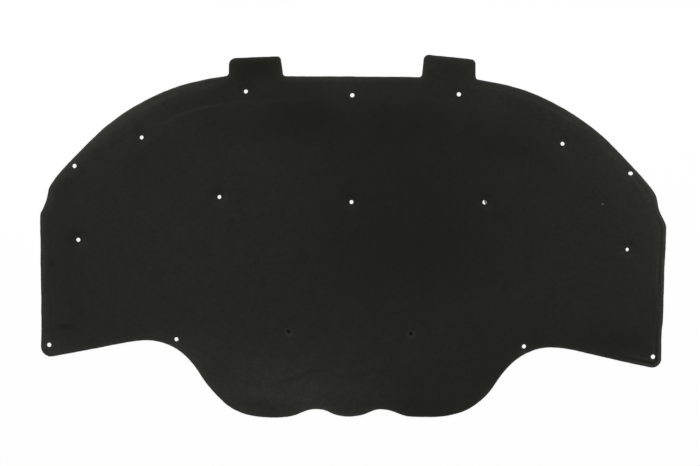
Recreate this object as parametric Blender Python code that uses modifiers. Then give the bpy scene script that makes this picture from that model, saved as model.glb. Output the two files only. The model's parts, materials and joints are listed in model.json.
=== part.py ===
"""Hood insulation pad, hot-pressed from felt and foam in one piece.

The pad lies on its flat hood side, in metres. X runs across the car, the front of the car is
towards -Y, and Z is up. The origin is the middle of the rectangle that the pad covers, on the
face that lies down. The design is the same on both sides of X = 0, so the right-hand half is
described and the left-hand half mirrors it.
"""

import math

import bmesh
import bpy

# Overall size
PAD_WIDTH = 1.300
PAD_DEPTH = 0.750
PANEL_THICKNESS = 0.012
FLANGE_THICKNESS = 0.0035

# Tabs on the straight rear edge; the inner side leans outwards and the rear side falls outwards
TAB_CENTRE_X = 0.2005
TAB_WIDTH = 0.1115
TAB_REACH = 0.043
TAB_LEAN_DEGREES = 4.0
TAB_FALL_DEGREES = 4.4
TAB_CORNER_RADIUS = 0.0095
TAB_FOOT_RADIUS = 0.007

# Shoulder and waist, listed from the rear to the side of the wing: how far the place lies forward
# of the one before, how far outwards the next one lies, and the edge's heading there in degrees
SHOULDER_START_DROP = 0.0025
SHOULDER_START_DEGREES = -10.0
SHOULDER_STEPS = (
    ("shoulder_high", 0.0405, 0.1400, -24.5),
    ("shoulder_low", 0.0950, 0.0720, -45.5),
    ("waist_rear", 0.0775, 0.0160, -50.0),
    ("waist_corner", 0.0215, 0.0085, -60.0),
    ("waist_hollow", 0.0335, 0.0100, -68.0),
    ("waist_front", 0.0225, 0.0035, -62.0),
)
SIDE_START_STEP = 0.0145

# Wing: its side tapers in towards the front, and its front edge rises from the rounded tip
SIDE_TAPER = 0.0060
WING_TIP_RADIUS = 0.021
WING_TIP_SETBACK = 0.1158
WING_EDGE_DEGREES = -192.0

# Front edge, listed from the centre line outwards: how far outwards the place lies from the one
# before, how far back from the foremost edge, and the edge's heading there in degrees
LAMP_CUTOUT_DEPTH = 0.152
FRONT_STEPS = (
    ("middle_lobe", 0.0, 0.0020, -180.0),
    ("middle_lobe_side", 0.040, 0.0103, -155.0),
    ("notch", 0.028, 0.0164, -180.0),
    ("lobe_inner", 0.036, 0.0078, -203.5),
    ("lobe", 0.054, 0.0, -180.0),
    ("lobe_outer", 0.099, 0.0265, -143.0),
    ("flank", 0.048, 0.0775, -122.0),
    ("crest_inner", 0.056, LAMP_CUTOUT_DEPTH - 0.0167, -148.5),
    ("crest", 0.058, LAMP_CUTOUT_DEPTH, -180.0),
    ("crest_outer", 0.051, LAMP_CUTOUT_DEPTH - 0.0063, WING_EDGE_DEGREES),
)

# Pressed flange: its width from the edge to the foot of the raised panel
REAR_FLANGE = 0.056
TAB_FLANGE = 0.0475
SHOULDER_HIGH_FLANGE = 0.047
SHOULDER_LOW_FLANGE = 0.040
WAIST_REAR_FLANGE = 0.030
WAIST_HOLLOW_FLANGE = 0.020
SIDE_FLANGE = 0.016
PANEL_SIDE_STEP = 0.035
WING_FLANGE = 0.042
CREST_OUTER_FLANGE = 0.031
CREST_FLANGE = 0.028
CREST_INNER_FLANGE = 0.030
FLANK_FLANGE = 0.034
LOBE_OUTER_FLANGE = 0.047
LOBE_FLANGE = 0.056
NOTCH_FLANGE = 0.072
MIDDLE_LOBE_FLANGE = 0.070
PANEL_CORNER_RADIUS = 0.021
PANEL_ROUND = 0.0075

# Clip holes, each in a seat pressed a little deeper than the flange; the front pair are pockets
CLIP_HOLE_DIAMETER = 0.009
CLIP_SEAT_DEPTH = 0.0005
CLIP_SEAT_DIAMETER = 0.015
CLIP_DIMPLE_DIAMETER = 0.034
POCKET_FLOOR = 0.001
POCKET_DIMPLE_DEPTH = 0.003
POCKET_DIMPLE_DIAMETER = 0.022

# Places of the clip holes, measured from the edge or the centre line
REAR_CLIP_DROP = 0.038
TAB_CLIP_OFFSET = 0.0207
TAB_CLIP_DROP = 0.0335
SHOULDER_CLIP_INSET = 0.2132
SHOULDER_CLIP_DROP = 0.1325
WAIST_CLIP_INSET = 0.0725
WAIST_CLIP_DROP = 0.1925
MIDDLE_CLIP_DROP = 0.2605
QUARTER_CLIP_X = 0.2752
QUARTER_CLIP_DROP = 0.2555
SIDE_CLIP_INSET = 0.0804
SIDE_CLIP_DROP = 0.3485
CREST_CLIP_STEP = 0.0584
CREST_CLIP_SETBACK = 0.0025
TIP_CLIP_SIDE_INSET = 0.017
TIP_CLIP_FRONT_INSET = 0.022
POCKET_X = 0.1279
POCKET_SETBACK = 0.1765

# How finely round shapes are followed; a Bezier bulges by at most this share of its handles' reach
CURVE_TOLERANCE = 0.0002
BEZIER_BULGE = 0.75
ROUND_SEGMENTS = 3
HOLE_SIDES = 24

# Limits: the share of the step that its round may take, how far a cutter passes a face, the
# distance at which points are one, the angle below which faces are one, and that of a rim
MOST_ROUND = 0.9
CUT_MARGIN = 0.005
WELD_DISTANCE = 0.00001
FLAT_ANGLE = math.radians(0.5)
RIM_ANGLE = math.radians(45.0)

# Worked out from the sizes above
HALF_WIDTH = PAD_WIDTH / 2
REAR_EDGE_Y = PAD_DEPTH / 2 - TAB_REACH
FRONT_Y = -PAD_DEPTH / 2
WING_TIP_Y = FRONT_Y + WING_TIP_SETBACK
WING_TIP_X = HALF_WIDTH - SIDE_TAPER
CLIP_SEAT_HEIGHT = FLANGE_THICKNESS - CLIP_SEAT_DEPTH


def clear_scene():
    """Remove every object, so that the script can be run again."""
    for item in list(bpy.data.objects):
        bpy.data.objects.remove(item, do_unlink=True)


def new_collection(name):
    """A collection in the scene for the part or for its cutters."""
    group = bpy.data.collections.new(name)
    bpy.context.scene.collection.children.link(group)
    return group


def felt():
    """Black needled felt: dull, very dark and faintly warm."""
    material = bpy.data.materials.new("black_felt")
    material.use_nodes = True
    surface = material.node_tree.nodes["Principled BSDF"]
    surface.inputs["Base Color"].default_value = (0.021, 0.021, 0.017, 1.0)
    surface.inputs["Roughness"].default_value = 0.95
    surface.inputs["Metallic"].default_value = 0.0
    return material


# The edge is a chain of places. Each is an X, a Y and the heading there in degrees, with 0 along +X
# and negative headings turning clockwise, the way that the chain runs from rear to front.


def bend(x, y, radius, *headings):
    """Places on a round corner about (x, y); a positive radius turns clockwise."""
    places = []
    for heading in headings:
        turn = math.radians(heading)
        places.append((x - radius * math.sin(turn), y + radius * math.cos(turn), heading))
    return places


def inset(place, width):
    """The point this far into the pad from a place, square to the edge."""
    x, y, heading = place
    turn = math.radians(heading)
    return (x + width * math.sin(turn), y - width * math.cos(turn))


def through(points, first_heading, last_heading):
    """Places at the points, each heading from the point before it to the one after it."""
    places = [(*points[0], first_heading)]
    for before, point, after in zip(points, points[1:], points[2:]):
        heading = math.degrees(math.atan2(after[1] - before[1], after[0] - before[0]))
        places.append((*point, heading))
    places.append((*points[-1], last_heading))
    return places


def tab_places():
    """The tab on the rear edge, from its inner foot to its outer foot."""
    lean = 90.0 - TAB_LEAN_DEGREES
    fall = -TAB_FALL_DEGREES
    outer_x = TAB_CENTRE_X + TAB_WIDTH / 2
    foot_x = TAB_CENTRE_X - TAB_WIDTH / 2 - TAB_FOOT_RADIUS
    foot_y = REAR_EDGE_Y + TAB_FOOT_RADIUS
    corner_y = REAR_EDGE_Y + TAB_REACH - TAB_CORNER_RADIUS
    along = math.tan(math.radians(TAB_LEAN_DEGREES)) * (corner_y - foot_y)
    across = (TAB_FOOT_RADIUS + TAB_CORNER_RADIUS) / math.cos(math.radians(TAB_LEAN_DEGREES))
    corner_x = foot_x + across + along
    far_x = outer_x - TAB_CORNER_RADIUS
    far_y = corner_y + (far_x - corner_x) * math.tan(math.radians(fall))
    start_y = REAR_EDGE_Y - SHOULDER_START_DROP
    places = bend(foot_x, foot_y, -TAB_FOOT_RADIUS, 0.0, lean)
    places += bend(corner_x, corner_y, TAB_CORNER_RADIUS, lean, 0.0, fall)
    places += bend(far_x, far_y, TAB_CORNER_RADIUS, fall, -90.0)
    places += bend(outer_x + TAB_FOOT_RADIUS, start_y + TAB_FOOT_RADIUS, -TAB_FOOT_RADIUS,
                   -90.0, SHOULDER_START_DEGREES)
    return places


def shoulder_places():
    """Places from the shoulder to the side of the wing, by name."""
    x = HALF_WIDTH - sum(outwards for _, _, outwards, _ in SHOULDER_STEPS)
    y = REAR_EDGE_Y
    places = {}
    for name, forwards, outwards, heading in SHOULDER_STEPS:
        y -= forwards
        places[name] = (x, y, heading)
        x += outwards
    places["side"] = (HALF_WIDTH, y - SIDE_START_STEP, -90.0)
    return places


def front_places():
    """Places from the middle of the front edge to the lamp cut-out, by name."""
    x = 0.0
    places = {}
    for name, outwards, setback, heading in FRONT_STEPS:
        x += outwards
        places[name] = (x, FRONT_Y + setback, heading)
    return places


def edge_chain():
    """The right-hand half of the pad's edge."""
    tip_x = WING_TIP_X - WING_TIP_RADIUS
    tip_y = WING_TIP_Y + WING_TIP_RADIUS
    chain = [(0.0, REAR_EDGE_Y, 0.0)]
    chain += tab_places()
    chain += shoulder_places().values()
    chain += bend(tip_x, tip_y, WING_TIP_RADIUS, -90.0, -180.0, WING_EDGE_DEGREES)
    chain += reversed(front_places().values())
    return chain


def panel_chain():
    """The right-hand half of the foot of the raised panel, inside the pressed flange."""
    shoulder = shoulder_places()
    front = front_places()
    tip_x = WING_TIP_X - SIDE_FLANGE - PANEL_CORNER_RADIUS
    tip_y = WING_TIP_Y + WING_FLANGE + PANEL_CORNER_RADIUS
    tip = bend(tip_x, tip_y, PANEL_CORNER_RADIUS, -90.0, -180.0)
    rear = [
        (0.0, REAR_EDGE_Y - REAR_FLANGE),
        (TAB_CENTRE_X, REAR_EDGE_Y - TAB_FLANGE),
        inset(shoulder["shoulder_high"], SHOULDER_HIGH_FLANGE),
        inset(shoulder["shoulder_low"], SHOULDER_LOW_FLANGE),
        inset(shoulder["waist_rear"], WAIST_REAR_FLANGE),
        inset(shoulder["waist_hollow"], WAIST_HOLLOW_FLANGE),
        (HALF_WIDTH - SIDE_FLANGE, shoulder["side"][1] - PANEL_SIDE_STEP),
    ]
    inner_front = [
        tip[-1][:2],
        inset(front["crest_outer"], CREST_OUTER_FLANGE),
        inset(front["crest"], CREST_FLANGE),
        inset(front["crest_inner"], CREST_INNER_FLANGE),
        inset(front["flank"], FLANK_FLANGE),
        inset(front["lobe_outer"], LOBE_OUTER_FLANGE),
        inset(front["lobe"], LOBE_FLANGE),
        inset(front["notch"], NOTCH_FLANGE),
        inset(front["middle_lobe"], MIDDLE_LOBE_FLANGE),
    ]
    return through(rear, 0.0, -90.0) + tip[:1] + through(inner_front, -180.0, -180.0)


def midpoint(first, second):
    """The point halfway between two points."""
    return ((first[0] + second[0]) / 2, (first[1] + second[1]) / 2)


def follow(start, pull_out, pull_in, end, points):
    """Add points along one Bezier curve, halving it until it is nearly straight."""
    across_x = end[0] - start[0]
    across_y = end[1] - start[1]
    reach = 0.0
    for pull in (pull_out, pull_in):
        area = across_x * (pull[1] - start[1]) - across_y * (pull[0] - start[0])
        reach = max(reach, abs(area) / math.hypot(across_x, across_y))
    if BEZIER_BULGE * reach < CURVE_TOLERANCE:
        points.append(end)
        return
    first = midpoint(start, pull_out)
    across = midpoint(pull_out, pull_in)
    last = midpoint(pull_in, end)
    before = midpoint(first, across)
    after = midpoint(across, last)
    middle = midpoint(before, after)
    follow(start, first, before, middle, points)
    follow(middle, after, last, end, points)


def trace(chain):
    """Points along a chain of places, with each stretch as near to an arc as a Bezier allows."""
    points = [chain[0][:2]]
    for (x0, y0, heading0), (x1, y1, heading1) in zip(chain, chain[1:]):
        out = math.radians(heading0)
        into = math.radians(heading1)
        turn = abs((into - out + math.pi) % (2 * math.pi) - math.pi)
        pull = math.hypot(x1 - x0, y1 - y0) / 3
        if turn > FLAT_ANGLE:
            pull *= 2 * math.tan(turn / 4) / math.sin(turn / 2)
        pull_out = (x0 + pull * math.cos(out), y0 + pull * math.sin(out))
        pull_in = (x1 - pull * math.cos(into), y1 - pull * math.sin(into))
        follow((x0, y0), pull_out, pull_in, (x1, y1), points)
    return points


def whole_outline(chain):
    """The right-hand half and its mirror image, as one closed ring of points."""
    right = trace(chain)
    left = [(-x, y) for x, y in reversed(right[1:-1])]
    return right + left


def join_level_faces(shape, height):
    """Make one face of all the faces that lie at this height, thin slivers included."""
    level = []
    for face in shape.faces:
        if all(abs(vertex.co.z - height) < WELD_DISTANCE for vertex in face.verts):
            level.append(face)
    bmesh.ops.dissolve_faces(shape, faces=level)


def plate(name, points, low, high, group):
    """A flat outline given a thickness, as a welded mesh from a filled 2D curve."""
    curve = bpy.data.curves.new(name + "_outline", "CURVE")
    curve.dimensions = "2D"
    curve.fill_mode = "BOTH"
    curve.extrude = (high - low) / 2
    spline = curve.splines.new("POLY")
    spline.points.add(len(points) - 1)
    for point, (x, y) in zip(spline.points, points):
        point.co = (x, y, 0.0, 1.0)
    spline.use_cyclic_u = True
    outline = bpy.data.objects.new(name + "_outline", curve)
    outline.location.z = (low + high) / 2
    group.objects.link(outline)
    bpy.context.view_layer.update()
    graph = bpy.context.evaluated_depsgraph_get()
    mesh = bpy.data.meshes.new_from_object(outline.evaluated_get(graph))
    mesh.name = name
    body = bpy.data.objects.new(name, mesh)
    body.matrix_world = outline.matrix_world.copy()
    group.objects.link(body)
    bpy.data.objects.remove(outline, do_unlink=True)
    shape = bmesh.new()
    shape.from_mesh(mesh)
    bmesh.ops.remove_doubles(shape, verts=shape.verts, dist=WELD_DISTANCE)
    for height in (curve.extrude, -curve.extrude):
        join_level_faces(shape, height)
    bmesh.ops.dissolve_limit(shape, angle_limit=FLAT_ANGLE, verts=shape.verts, edges=shape.edges)
    bmesh.ops.recalc_face_normals(shape, faces=shape.faces)
    shape.to_mesh(mesh)
    shape.free()
    return body


def round_top_rim(body, width):
    """Round the upper rim of a plate over, from its wall to its top face."""
    shape = bmesh.new()
    shape.from_mesh(body.data)
    top = max(vertex.co.z for vertex in shape.verts)
    rim = []
    for edge in shape.edges:
        level = all(abs(vertex.co.z - top) < WELD_DISTANCE for vertex in edge.verts)
        if level and edge.calc_face_angle() > RIM_ANGLE:
            rim.append(edge)
    bmesh.ops.bevel(shape, geom=rim, offset=width, offset_type="OFFSET", segments=ROUND_SEGMENTS,
                    profile=0.5, affect="EDGES", clamp_overlap=False)
    shape.to_mesh(body.data)
    shape.free()


def as_helper(body):
    """Mark a body that only shapes the pad, so that it isn't part of it."""
    body.hide_render = True
    body.display_type = "WIRE"


def turned_cutter(name, profile, x, y, group):
    """A turned cutter from its profile, listed from the top of the axis to the bottom."""
    mesh = bpy.data.meshes.new(name)
    edges = [(index, index + 1) for index in range(len(profile) - 1)]
    mesh.from_pydata([(radius, 0.0, height) for radius, height in profile], edges, [])
    cutter = bpy.data.objects.new(name, mesh)
    cutter.location = (x, y, 0.0)
    group.objects.link(cutter)
    screw = cutter.modifiers.new("turn", "SCREW")
    screw.axis = "Z"
    screw.steps = HOLE_SIDES
    screw.render_steps = HOLE_SIDES
    screw.use_merge_vertices = True
    screw.merge_threshold = WELD_DISTANCE
    as_helper(cutter)
    return cutter


def clip_profile():
    """A flat seat with a through hole, in a dimple that widens up to the panel's face."""
    dimple_slope = (CLIP_DIMPLE_DIAMETER - CLIP_SEAT_DIAMETER) / 2
    dimple_slope /= PANEL_THICKNESS - CLIP_SEAT_HEIGHT
    top = PANEL_THICKNESS + CUT_MARGIN
    top_radius = CLIP_DIMPLE_DIAMETER / 2 + dimple_slope * CUT_MARGIN
    return [
        (0.0, top),
        (top_radius, top),
        (CLIP_SEAT_DIAMETER / 2, CLIP_SEAT_HEIGHT),
        (CLIP_HOLE_DIAMETER / 2, CLIP_SEAT_HEIGHT),
        (CLIP_HOLE_DIAMETER / 2, -CUT_MARGIN),
        (0.0, -CUT_MARGIN),
    ]


def pocket_profile():
    """A pocket that stops short of the hood side, in a shallow dimple."""
    pocket_radius = CLIP_HOLE_DIAMETER / 2
    dimple_radius = POCKET_DIMPLE_DIAMETER / 2
    dimple_slope = (dimple_radius - pocket_radius) / POCKET_DIMPLE_DEPTH
    return [
        (0.0, PANEL_THICKNESS + CUT_MARGIN),
        (dimple_radius + dimple_slope * CUT_MARGIN, PANEL_THICKNESS + CUT_MARGIN),
        (pocket_radius, PANEL_THICKNESS - POCKET_DIMPLE_DEPTH),
        (pocket_radius, POCKET_FLOOR),
        (0.0, POCKET_FLOOR),
    ]


def clip_places():
    """Places of the clip holes in the right-hand half and on the centre line, by name."""
    crest_x, crest_y, _ = front_places()["crest"]
    return {
        "rear_clip": (0.0, REAR_EDGE_Y - REAR_CLIP_DROP),
        "tab_clip": (TAB_CENTRE_X + TAB_CLIP_OFFSET, REAR_EDGE_Y - TAB_CLIP_DROP),
        "shoulder_clip": (HALF_WIDTH - SHOULDER_CLIP_INSET, REAR_EDGE_Y - SHOULDER_CLIP_DROP),
        "waist_clip": (HALF_WIDTH - WAIST_CLIP_INSET, REAR_EDGE_Y - WAIST_CLIP_DROP),
        "middle_clip": (0.0, REAR_EDGE_Y - MIDDLE_CLIP_DROP),
        "quarter_clip": (QUARTER_CLIP_X, REAR_EDGE_Y - QUARTER_CLIP_DROP),
        "side_clip": (HALF_WIDTH - SIDE_CLIP_INSET, REAR_EDGE_Y - SIDE_CLIP_DROP),
        "crest_clip": (crest_x - CREST_CLIP_STEP, crest_y + CREST_CLIP_SETBACK),
        "tip_clip": (WING_TIP_X - TIP_CLIP_SIDE_INSET, WING_TIP_Y + TIP_CLIP_FRONT_INSET),
        "pocket": (POCKET_X, FRONT_Y + POCKET_SETBACK),
    }


def clip_cutters(group):
    """A cutter for every clip hole, on both sides of the centre line."""
    cutters = []
    for name, (x, y) in clip_places().items():
        profile = pocket_profile() if name == "pocket" else clip_profile()
        cutters.append(turned_cutter(name + "_right", profile, x, y, group))
        if x > 0.0:
            cutters.append(turned_cutter(name + "_left", profile, -x, y, group))
    return cutters


def apply_boolean(body, other, operation):
    """Join or cut the body with another one, as a live modifier."""
    modifier = body.modifiers.new(other.name, "BOOLEAN")
    modifier.object = other
    modifier.operation = operation
    modifier.solver = "EXACT"


def build_pad(group, helpers):
    """The pad: a pressed plate, the raised panel joined to it, and the clip holes."""
    pad = plate("insulation_pad", whole_outline(edge_chain()), 0.0, FLANGE_THICKNESS, group)
    panel = plate("raised_panel", whole_outline(panel_chain()), FLANGE_THICKNESS / 2,
                  PANEL_THICKNESS, helpers)
    round_top_rim(panel, min(PANEL_ROUND, MOST_ROUND * (PANEL_THICKNESS - FLANGE_THICKNESS)))
    as_helper(panel)
    apply_boolean(pad, panel, "UNION")
    for cutter in clip_cutters(helpers):
        apply_boolean(pad, cutter, "DIFFERENCE")
    pad.data.materials.clear()
    pad.data.materials.append(felt())
    return pad


clear_scene()
part_collection = new_collection("hood_insulation_pad")
cutter_collection = new_collection("pad_cutters")
build_pad(part_collection, cutter_collection)
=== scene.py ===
# %% [markdown]
# # A hood insulation pad of pressed felt
#
# This pad hangs under a car's hood and keeps heat and noise in. A mat of black fibres is laid in a hot
# press, which squeezes its edge thin and leaves the middle soft, and clip holes are punched through it. Here
# it is a fine mesh whose height follows a few rules, dressed in felt and loose fibres. The solid part is
# loaded first: it gives the holes, the thickness and the overall size.

# %% Load the frame
import json
import math

import bmesh
import bpy
import numpy as np
from mathutils import Matrix, Vector, noise
from mathutils.geometry import delaunay_2d_cdt
from mathutils.kdtree import KDTree


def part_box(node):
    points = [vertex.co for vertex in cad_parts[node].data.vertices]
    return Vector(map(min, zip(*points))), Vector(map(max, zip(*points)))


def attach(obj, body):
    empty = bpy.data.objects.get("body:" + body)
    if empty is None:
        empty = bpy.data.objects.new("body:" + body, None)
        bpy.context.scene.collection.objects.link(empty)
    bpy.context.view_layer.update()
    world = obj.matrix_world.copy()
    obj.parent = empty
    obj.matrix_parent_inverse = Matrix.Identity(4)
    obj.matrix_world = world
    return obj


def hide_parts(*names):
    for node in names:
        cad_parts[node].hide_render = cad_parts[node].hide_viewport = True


MM = 0.001
NODE = "insulation_pad"
BODY = "root"

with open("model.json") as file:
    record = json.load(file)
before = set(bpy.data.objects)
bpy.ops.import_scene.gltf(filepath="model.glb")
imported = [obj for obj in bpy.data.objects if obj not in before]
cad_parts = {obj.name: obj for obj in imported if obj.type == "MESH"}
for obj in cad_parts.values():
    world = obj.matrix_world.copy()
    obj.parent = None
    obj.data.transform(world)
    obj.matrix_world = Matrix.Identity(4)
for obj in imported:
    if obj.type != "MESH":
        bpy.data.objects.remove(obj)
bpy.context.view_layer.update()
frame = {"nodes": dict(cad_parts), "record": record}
low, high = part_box(NODE)


def add_object(name, data):
    """A new object in the scene."""
    made = bpy.data.objects.new(name, data)
    bpy.context.scene.collection.objects.link(made)
    return made


print("frame:", sorted(frame["nodes"]), "from", low[:], "to", high[:])

# %% [markdown]
# ## The camera
#
# The photograph was taken from straight above with a long lens, so it hardly shows any perspective. The
# camera was turned a little, by 1.4 degrees about the picture's upright axis and by 0.9 degrees in its
# plane.

# %% Place the camera
LENS_MM = 60.0
CAMERA_YAW = math.radians(1.403)
CAMERA_ROLL = math.radians(0.876)
CAMERA_AIM = Vector((-1.1 * MM, 7.4 * MM, 0.0))
CAMERA_DISTANCE = 2.4217

camera = add_object("studio_camera", bpy.data.cameras.new("studio_camera"))
camera.data.lens = LENS_MM
turn = Matrix.Rotation(CAMERA_YAW, 4, "Y") @ Matrix.Rotation(CAMERA_ROLL, 4, "Z")
backed_off = Matrix.Translation((0.0, 0.0, CAMERA_DISTANCE))
camera.matrix_world = Matrix.Translation(CAMERA_AIM) @ turn @ backed_off
bpy.context.scene.camera = camera
print("camera:", [round(value, 3) for value in camera.matrix_world.translation])

# %% [markdown]
# ## Node trees as lines of text
#
# Light, felt and hairs are all made with nodes. One small class keeps them short to write: each node takes
# its inputs as a table, in which a plain value is set on the socket and another node's output is linked to
# it.

# %% Write nodes like arithmetic
class Nodes:
    """A node tree that is written line by line, and laid out in rows of ten nodes."""

    def __init__(self, tree):
        self.tree = tree

    def add(self, kind, inputs, **settings):
        """A node with its settings and inputs."""
        node = self.tree.nodes.new(kind)
        node.location = (len(self.tree.nodes) % 10 * 220, -(len(self.tree.nodes) // 10) * 320)
        for name, value in settings.items():
            setattr(node, name, value)
        for name, value in inputs.items():
            if isinstance(value, bpy.types.NodeSocket):
                self.tree.links.new(value, node.inputs[name])
            else:
                node.inputs[name].default_value = value
        return node

    def math(self, operation, first, second):
        """A Math node on two numbers."""
        return self.add("ShaderNodeMath", {0: first, 1: second}, operation=operation).outputs[0]

    def vector(self, operation, first, second):
        """A Vector Math node on two vectors, or on a vector and its scale."""
        other = "Scale" if operation == "SCALE" else 1
        return self.add("ShaderNodeVectorMath", {0: first, other: second}, operation=operation).outputs[0]

    def remap(self, value, low_in, high_in, low_out, high_out):
        """Stretch a range of values onto another one, and clamp it."""
        inputs = {"Value": value, "From Min": low_in, "From Max": high_in}
        inputs.update({"To Min": low_out, "To Max": high_out})
        return self.add("ShaderNodeMapRange", inputs).outputs["Result"]


def empty_tree(owner):
    """The tree of a material or world, without its first nodes."""
    owner.use_nodes = True
    owner.node_tree.nodes.clear()
    return Nodes(owner.node_tree)


print("nodes: ready")

# %% [markdown]
# ## Light, floor and world
#
# Black felt shows its relief only by how much light each slope catches. The main lamp is a large soft panel
# past the rear edge, and the world adds the even light of a white studio. Together they are about as strong
# as a plain white sky, at which a colour renders as it is written.
#
# The floor is to look white without lighting the pad more than that. Light Path tells which kind of ray
# asks: the camera sees mostly a flat white glow, and the share that is left to real light keeps a faint
# shadow.

# %% Set the stage
WORLD_LIGHT = 0.62
LAMP_POWER = 46.0
LAMP_SIZE = (2.6, 1.2)
LAMP_PLACE = Vector((-0.35, 2.3, 1.75))
FLOOR_HALF_SIZE = 6.0
FLOOR_COLOUR = (0.86, 0.86, 0.86, 1.0)
FLOOR_GLOW_SHARE = 0.9
FLOOR_GLOW = 1.02
FLOOR_GAP = 0.05 * MM
WHITE = (1.0, 1.0, 1.0, 1.0)


def mix_for_the_camera(nodes, share, plain, white, output_kind):
    """Camera, glossy and transmission rays see a share of the white shader, others the plain one."""
    rays = nodes.add("ShaderNodeLightPath", {}).outputs
    seen = nodes.math("MAXIMUM", rays["Is Camera Ray"], rays["Is Glossy Ray"])
    seen = nodes.math("MAXIMUM", seen, rays["Is Transmission Ray"])
    part = nodes.math("MULTIPLY", seen, share)
    mix = nodes.add("ShaderNodeMixShader", {0: part, 1: plain.outputs[0], 2: white.outputs[0]})
    nodes.add(output_kind, {0: mix.outputs[0]})


def make_world():
    """Even studio light, which looks white to the camera."""
    world = bpy.data.worlds.new("white_studio")
    nodes = empty_tree(world)
    light = nodes.add("ShaderNodeBackground", {"Color": WHITE, "Strength": WORLD_LIGHT})
    white = nodes.add("ShaderNodeBackground", {"Color": WHITE})
    mix_for_the_camera(nodes, 1.0, light, white, "ShaderNodeOutputWorld")
    bpy.context.scene.world = world


def make_floor():
    """A white table under the pad."""
    mesh = bpy.data.meshes.new("white_floor")
    half = FLOOR_HALF_SIZE
    corners = [(-half, -half, 0.0), (half, -half, 0.0), (half, half, 0.0), (-half, half, 0.0)]
    mesh.from_pydata(corners, [], [(0, 1, 2, 3)])
    floor = add_object("white_floor", mesh)
    floor.location.z = low.z - FLOOR_GAP
    material = bpy.data.materials.new("white_floor")
    nodes = empty_tree(material)
    paint = nodes.add("ShaderNodeBsdfDiffuse", {"Color": FLOOR_COLOUR})
    glow = nodes.add("ShaderNodeEmission", {"Strength": FLOOR_GLOW})
    mix_for_the_camera(nodes, FLOOR_GLOW_SHARE, paint, glow, "ShaderNodeOutputMaterial")
    mesh.materials.append(material)
    return floor


def make_lamp():
    """A large soft panel past the rear edge, aimed at the pad's middle."""
    lamp = add_object("soft_panel", bpy.data.lights.new("soft_panel", "AREA"))
    lamp.data.shape = "RECTANGLE"
    lamp.data.size, lamp.data.size_y = LAMP_SIZE
    lamp.data.energy = LAMP_POWER
    lamp.location = LAMP_PLACE
    lamp.rotation_euler = (-LAMP_PLACE).to_track_quat("-Z", "Y").to_euler()


make_world()
white_floor = make_floor()
make_lamp()
bpy.context.scene.view_settings.view_transform = "Standard"
print("stage: world", WORLD_LIGHT, "lamp", LAMP_POWER, "W")

# %% [markdown]
# ## The edge of the pad
#
# A soft outline is easier to draw with headings than with many points. Each place has an X, a Y and the
# direction in which the edge runs there, and between two places a Bezier curve comes as near to an arc as it
# can. Felt is cut by hand, so the two halves are never quite alike: the tables hold both, with X measured
# outwards from the centre line. Headings are in degrees: 0 runs outwards, and they fall towards the front.

# %% Describe both halves of the edge
REAR_EDGE_Y = high.y - 43.0 * MM
TAB_FOOT_RADIUS = 7.0 * MM
TABS = {
    "left": {"rear_shift": -1.0 * MM, "inner_x": 146.3 * MM, "outer_x": 258.1 * MM, "reach": 40.2 * MM,
             "lean": 8.0, "fall": 3.1, "radius": 8.2 * MM, "outer_radius": 14.5 * MM, "drop": 2.3 * MM,
             "shoulder_heading": -8.2},
    "right": {"rear_shift": 0.5 * MM, "inner_x": 143.6 * MM, "outer_x": 253.4 * MM, "reach": 46.8 * MM,
              "lean": 4.8, "fall": 5.3, "radius": 11.5 * MM, "outer_radius": 10.0 * MM, "drop": 3.6 * MM,
              "shoulder_heading": -8.0},
}
# The name of the place, X and Y left, X and Y right, in millimetres, and the heading
SIDE_PLACES = (
    ("shoulder_high", 400.6, 292.5, 399.4, 290.2, -24.5),
    ("shoulder_low", 540.4, 196.9, 538.3, 194.8, -45.5),
    ("waist_rear", 612.6, 119.5, 611.3, 118.4, -50.0),
    ("waist_corner", 628.0, 97.5, 626.9, 96.9, -60.0),
    ("waist_hollow", 637.0, 64.2, 635.9, 63.8, -68.0),
    ("waist_front", 646.5, 41.5, 646.5, 41.5, -62.0),
    ("side", 648.3, 27.0, 650.5, 27.0, -90.0),
    ("side_middle", 646.0, -70.0, 647.7, -80.0, -91.0),
    ("side_front", 643.6, -150.0, 646.8, -160.0, -91.0),
    ("side_step", 642.8, -185.0, 644.4, -188.0, -92.0),
)
# The middle of the round wing tip and its radius
TIP_CENTRES = {"left": (622.1 * MM, -239.2 * MM, 20.5 * MM),
               "right": (625.9 * MM, -241.9 * MM, 18.5 * MM)}
TIP_HEADINGS = (-90.0, -180.0, -190.5)
FRONT_PLACES = (
    ("crest_outer", 470.0, -228.8, 470.0, -228.3, -192.0),
    ("crest", 419.0, -222.3, 419.0, -222.4, -180.0),
    ("crest_inner", 360.3, -238.5, 360.7, -239.3, -148.5),
    ("flank", 304.3, -297.1, 305.3, -297.7, -122.0),
    ("lobe_outer", 257.3, -348.9, 257.2, -348.5, -143.0),
    ("lobe", 163.0, -378.2, 158.0, -371.4, -180.0),
    ("lobe_inner", 103.1, -369.9, 104.9, -365.0, -203.5),
    ("notch", 68.0, -359.2, 68.0, -356.9, -180.0),
    ("middle_lobe_side", 38.5, -364.9, 40.3, -365.3, -155.0),
    ("middle_lobe", 0.0, -373.1, 0.0, -373.1, -180.0),
)
HEADING_FIXES = {("left", "lobe_outer"): 5.0, ("right", "lobe_outer"): -4.5,
                 ("left", "middle_lobe_side"): 3.0, ("right", "shoulder_high"): -1.0}


def bend(x, y, radius, *headings):
    """Places on a round corner about (x, y); a positive radius turns clockwise."""
    places = []
    for heading in headings:
        angle = math.radians(heading)
        places.append((x - radius * math.sin(angle), y + radius * math.cos(angle), heading))
    return places


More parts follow.
